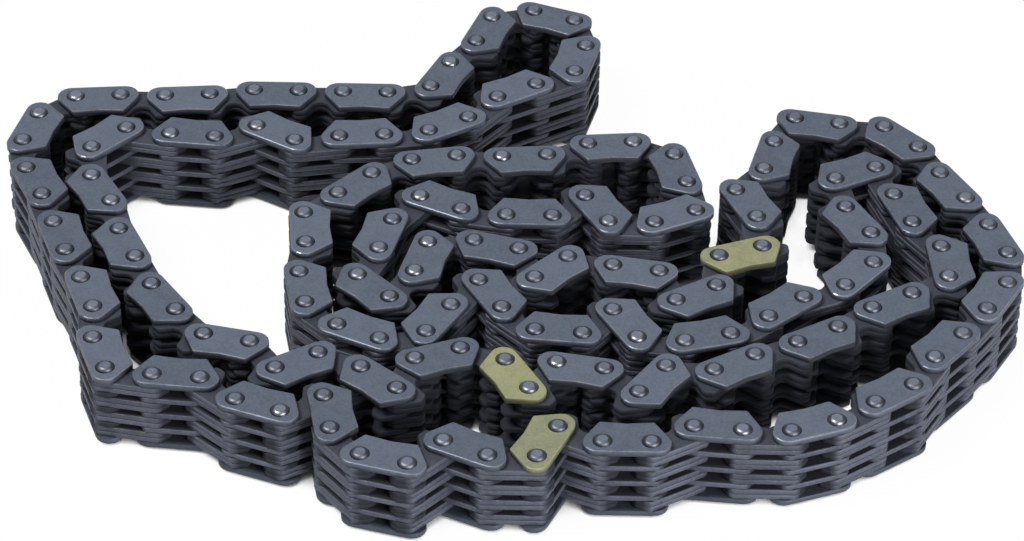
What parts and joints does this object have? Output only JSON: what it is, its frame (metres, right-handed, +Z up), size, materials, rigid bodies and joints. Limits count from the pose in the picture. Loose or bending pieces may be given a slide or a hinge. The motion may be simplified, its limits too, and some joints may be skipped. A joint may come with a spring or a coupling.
{
  "type": "timing chain",
  "caption": "Closed loop of inverted tooth timing chain lying folded on its side: stacked toothed plates on riveted pins, with gold marker plates.",
  "frame": {"origin": "middle of the laid chain's plan outline, on the surface that the pin heads lie on", "axes": "+X to the right and +Y to the back of the laid chain as the picture shows it, +Z up along the pins"},
  "size_m": [0.1412, 0.1028, 0.0122],
  "materials": {
    "guide_steel": "dark oiled steel, satin",
    "joint_steel": "dark oiled steel, satin",
    "pin_steel": "bright riveted steel",
    "gold_plate": "yellow marking finish on steel"
  },
  "bodies": {
    "base": {"base_top_guides": "guide_steel", "base_bottom_guides": "guide_steel", "base_inner_plates": "joint_steel", "base_joint_plates": "joint_steel", "base_pins": "pin_steel", "near_mark_plate": "gold_plate"},
    "left_wall_lead": {"left_wall_lead": "guide_steel"},
    "left_wall_run": {"left_wall_plates": "guide_steel", "left_wall_pins": "pin_steel"},
    "left_wall_tail": {"left_wall_tail": "guide_steel"},
    "left_corner_lead": {"left_corner_lead": "guide_steel"},
    "left_corner_run": {"left_corner_plates": "guide_steel", "left_corner_pins": "pin_steel"},
    "left_corner_tail": {"left_corner_tail": "guide_steel"},
    "top_hook_lead": {"top_hook_lead": "guide_steel"},
    "top_hook_run": {"top_hook_plates": "guide_steel", "top_hook_pins": "pin_steel"},
    "top_hook_tail": {"top_hook_tail": "guide_steel"},
    "front_strand_lead": {"front_strand_lead": "guide_steel", "front_mark_plate": "gold_plate"},
    "front_strand_run": {"front_strand_plates": "guide_steel", "front_strand_pins": "pin_steel"},
    "front_strand_tail": {"front_strand_tail": "guide_steel"},
    "right_pocket_lead": {"right_pocket_lead": "guide_steel"},
    "right_pocket_run": {"right_pocket_plates": "guide_steel", "right_pocket_pins": "pin_steel"},
    "right_pocket_tail": {"right_pocket_tail": "guide_steel"},
    "middle_left_lead": {"middle_left_lead": "guide_steel"},
    "middle_left_run": {"middle_left_plates": "guide_steel", "middle_left_pins": "pin_steel"},
    "middle_left_tail": {"middle_left_tail": "guide_steel"},
    "middle_arch_lead": {"middle_arch_lead": "guide_steel"},
    "middle_arch_run": {"middle_arch_plates": "guide_steel", "middle_arch_pins": "pin_steel"},
    "middle_arch_tail": {"middle_arch_tail": "guide_steel"},
    "middle_tip_lead": {"middle_tip_lead": "guide_steel"},
    "middle_tip_run": {"middle_tip_plates": "guide_steel", "middle_tip_pins": "pin_steel"},
    "middle_tip_tail": {"middle_tip_tail": "guide_steel"},
    "right_sweep_lead": {"right_sweep_lead": "guide_steel"},
    "right_sweep_run": {"right_sweep_plates": "guide_steel", "right_sweep_pins": "pin_steel", "right_mark_plate": "gold_plate"},
    "right_sweep_tail": {"right_sweep_tail": "guide_steel"},
    "right_shoulder_lead": {"right_shoulder_lead": "guide_steel"},
    "right_shoulder_run": {"right_shoulder_plates": "guide_steel", "right_shoulder_pins": "pin_steel"},
    "right_shoulder_tail": {"right_shoulder_tail": "guide_steel"},
    "right_crown_lead": {"right_crown_lead": "guide_steel"},
    "right_crown_run": {"right_crown_plates": "guide_steel", "right_crown_pins": "pin_steel"},
    "right_crown_tail": {"right_crown_tail": "guide_steel"}
  },
  "joints": [
    {"name": "left_wall_swing", "type": "hinge", "parent": "base", "child": "left_wall_lead", "pos_m": [-0.02359, -0.03619, 0.00611], "axis": [0, 0, 1], "range_deg": [-20, 18]},
    {"name": "left_wall_carry", "type": "hinge", "parent": "left_wall_lead", "child": "left_wall_run", "pos_m": [-0.02909, -0.03937, 0.00611], "axis": [0, 0, 1], "range_deg": [-18, 20]},
    {"name": "left_wall_close", "type": "hinge", "parent": "left_wall_run", "child": "left_wall_tail", "pos_m": [-0.03021, -0.03089, 0.00611], "axis": [0, 0, 1], "range_deg": [-20, 18]},
    {"name": "left_corner_swing", "type": "hinge", "parent": "left_wall_run", "child": "left_corner_lead", "pos_m": [-0.0574, -0.0132, 0.00611], "axis": [0, 0, 1], "range_deg": [-16, 20]},
    {"name": "left_corner_carry", "type": "hinge", "parent": "left_corner_lead", "child": "left_corner_run", "pos_m": [-0.06008, -0.00744, 0.00611], "axis": [0, 0, 1], "range_deg": [-20, 16]},
    {"name": "left_corner_close", "type": "hinge", "parent": "left_corner_run", "child": "left_corner_tail", "pos_m": [-0.05316, -0.00279, 0.00611], "axis": [0, 0, 1], "range_deg": [-16, 20]},
    {"name": "top_hook_swing", "type": "hinge", "parent": "left_corner_run", "child": "top_hook_lead", "pos_m": [-0.06834, 0.01646, 0.00611], "axis": [0, 0, 1], "range_deg": [-2, 30]},
    {"name": "top_hook_carry", "type": "hinge", "parent": "top_hook_lead", "child": "top_hook_run", "pos_m": [-0.06669, 0.02259, 0.00611], "axis": [0, 0, 1], "range_deg": [-30, 2]},
    {"name": "top_hook_close", "type": "hinge", "parent": "top_hook_run", "child": "top_hook_tail", "pos_m": [0.01085, 0.04079, 0.00611], "axis": [0, 0, 1], "range_deg": [-2, 30]},
    {"name": "front_strand_swing", "type": "hinge", "parent": "base", "child": "front_strand_lead", "pos_m": [0.00001, -0.02851, 0.00611], "axis": [0, 0, 1], "range_deg": [-18, 1]},
    {"name": "front_strand_carry", "type": "hinge", "parent": "front_strand_lead", "child": "front_strand_run", "pos_m": [0.00319, -0.03401, 0.00611], "axis": [0, 0, 1], "range_deg": [-1, 18]},
    {"name": "front_strand_close", "type": "hinge", "parent": "front_strand_run", "child": "front_strand_tail", "pos_m": [0.01748, -0.02351, 0.00611], "axis": [0, 0, 1], "range_deg": [-18, 1]},
    {"name": "right_pocket_swing", "type": "hinge", "parent": "front_strand_run", "child": "right_pocket_lead", "pos_m": [0.0443, -0.02072, 0.00611], "axis": [0, 0, 1], "range_deg": [-2, 24]},
    {"name": "right_pocket_carry", "type": "hinge", "parent": "right_pocket_lead", "child": "right_pocket_run", "pos_m": [0.04916, -0.01664, 0.00611], "axis": [0, 0, 1], "range_deg": [-24, 2]},
    {"name": "right_pocket_close", "type": "hinge", "parent": "right_pocket_run", "child": "right_pocket_tail", "pos_m": [0.04001, -0.0147, 0.00611], "axis": [0, 0, 1], "range_deg": [-2, 24]},
    {"name": "middle_left_swing", "type": "hinge", "parent": "base", "child": "middle_left_lead", "pos_m": [-0.02247, -0.02199, 0.00611], "axis": [0, 0, 1], "range_deg": [-18, 18]},
    {"name": "middle_left_carry", "type": "hinge", "parent": "middle_left_lead", "child": "middle_left_run", "pos_m": [-0.02696, -0.0175, 0.00611], "axis": [0, 0, 1], "range_deg": [-18, 18]},
    {"name": "middle_left_close", "type": "hinge", "parent": "middle_left_run", "child": "middle_left_tail", "pos_m": [-0.02017, -0.0116, 0.00611], "axis": [0, 0, 1], "range_deg": [-18, 18]},
    {"name": "middle_arch_swing", "type": "hinge", "parent": "middle_left_run", "child": "middle_arch_lead", "pos_m": [-0.02357, 0.00589, 0.00611], "axis": [0, 0, -1], "range_deg": [-24, 3]},
    {"name": "middle_arch_carry", "type": "hinge", "parent": "middle_arch_lead", "child": "middle_arch_run", "pos_m": [-0.01908, 0.01038, 0.00611], "axis": [0, 0, -1], "range_deg": [-3, 24]},
    {"name": "middle_arch_close", "type": "hinge", "parent": "middle_arch_run", "child": "middle_arch_tail", "pos_m": [0.01065, 0.00619, 0.00611], "axis": [0, 0, -1], "range_deg": [-24, 3]},
    {"name": "middle_tip_swing", "type": "hinge", "parent": "middle_arch_run", "child": "middle_tip_lead", "pos_m": [0.00534, 0.01521, 0.00611], "axis": [0, 0, 1], "range_deg": [-18, 22]},
    {"name": "middle_tip_carry", "type": "hinge", "parent": "middle_tip_lead", "child": "middle_tip_run", "pos_m": [0.0111, 0.0179, 0.00611], "axis": [0, 0, 1], "range_deg": [-22, 18]},
    {"name": "middle_tip_close", "type": "hinge", "parent": "middle_tip_run", "child": "middle_tip_tail", "pos_m": [0.02593, 0.00338, 0.00611], "axis": [0, 0, 1], "range_deg": [-18, 22]},
    {"name": "right_sweep_swing", "type": "hinge", "parent": "base", "child": "right_sweep_lead", "pos_m": [0.02282, -0.01574, 0.00611], "axis": [0, 0, -1], "range_deg": [-3, 12]},
    {"name": "right_sweep_carry", "type": "hinge", "parent": "right_sweep_lead", "child": "right_sweep_run", "pos_m": [0.02832, -0.01256, 0.00611], "axis": [0, 0, -1], "range_deg": [-12, 3]},
    {"name": "right_sweep_close", "type": "hinge", "parent": "right_sweep_run", "child": "right_sweep_tail", "pos_m": [0.02461, -0.0409, 0.00611], "axis": [0, 0, -1], "range_deg": [-3, 12]},
    {"name": "right_shoulder_swing", "type": "hinge", "parent": "right_sweep_run", "child": "right_shoulder_lead", "pos_m": [0.0316, 0.00802, 0.00611], "axis": [0, 0, 1], "range_deg": [-16, 2]},
    {"name": "right_shoulder_carry", "type": "hinge", "parent": "right_shoulder_lead", "child": "right_shoulder_run", "pos_m": [0.03568, 0.01288, 0.00611], "axis": [0, 0, 1], "range_deg": [-2, 16]},
    {"name": "right_shoulder_close", "type": "hinge", "parent": "right_shoulder_run", "child": "right_shoulder_tail", "pos_m": [0.06091, -0.02164, 0.00611], "axis": [0, 0, 1], "range_deg": [-16, 2]},
    {"name": "right_crown_swing", "type": "hinge", "parent": "right_shoulder_run", "child": "right_crown_lead", "pos_m": [0.03732, 0.01901, 0.00611], "axis": [0, 0, 1], "range_deg": [-16, 1]},
    {"name": "right_crown_carry", "type": "hinge", "parent": "right_crown_lead", "child": "right_crown_run", "pos_m": [0.0405, 0.02451, 0.00611], "axis": [0, 0, 1], "range_deg": [-1, 16]},
    {"name": "right_crown_close", "type": "hinge", "parent": "right_crown_run", "child": "right_crown_tail", "pos_m": [0.06773, -0.01094, 0.00611], "axis": [0, 0, 1], "range_deg": [-16, 1]}
  ],
  "couplings": [
    {"joint": "left_wall_carry", "follows": "left_wall_swing", "ratio": -1},
    {"joint": "left_wall_close", "follows": "left_wall_swing", "ratio": 1},
    {"joint": "left_corner_carry", "follows": "left_corner_swing", "ratio": -1},
    {"joint": "left_corner_close", "follows": "left_corner_swing", "ratio": 1},
    {"joint": "top_hook_carry", "follows": "top_hook_swing", "ratio": -1},
    {"joint": "top_hook_close", "follows": "top_hook_swing", "ratio": 1},
    {"joint": "front_strand_carry", "follows": "front_strand_swing", "ratio": -1},
    {"joint": "front_strand_close", "follows": "front_strand_swing", "ratio": 1},
    {"joint": "right_pocket_carry", "follows": "right_pocket_swing", "ratio": -1},
    {"joint": "right_pocket_close", "follows": "right_pocket_swing", "ratio": 1},
    {"joint": "middle_left_carry", "follows": "middle_left_swing", "ratio": -1},
    {"joint": "middle_left_close", "follows": "middle_left_swing", "ratio": 1},
    {"joint": "middle_arch_carry", "follows": "middle_arch_swing", "ratio": -1},
    {"joint": "middle_arch_close", "follows": "middle_arch_swing", "ratio": 1},
    {"joint": "middle_tip_carry", "follows": "middle_tip_swing", "ratio": -1},
    {"joint": "middle_tip_close", "follows": "middle_tip_swing", "ratio": 1},
    {"joint": "right_sweep_carry", "follows": "right_sweep_swing", "ratio": -1},
    {"joint": "right_sweep_close", "follows": "right_sweep_swing", "ratio": 1},
    {"joint": "right_shoulder_carry", "follows": "right_shoulder_swing", "ratio": -1},
    {"joint": "right_shoulder_close", "follows": "right_shoulder_swing", "ratio": 1},
    {"joint": "right_crown_carry", "follows": "right_crown_swing", "ratio": -1},
    {"joint": "right_crown_close", "follows": "right_crown_swing", "ratio": 1}
  ]
}
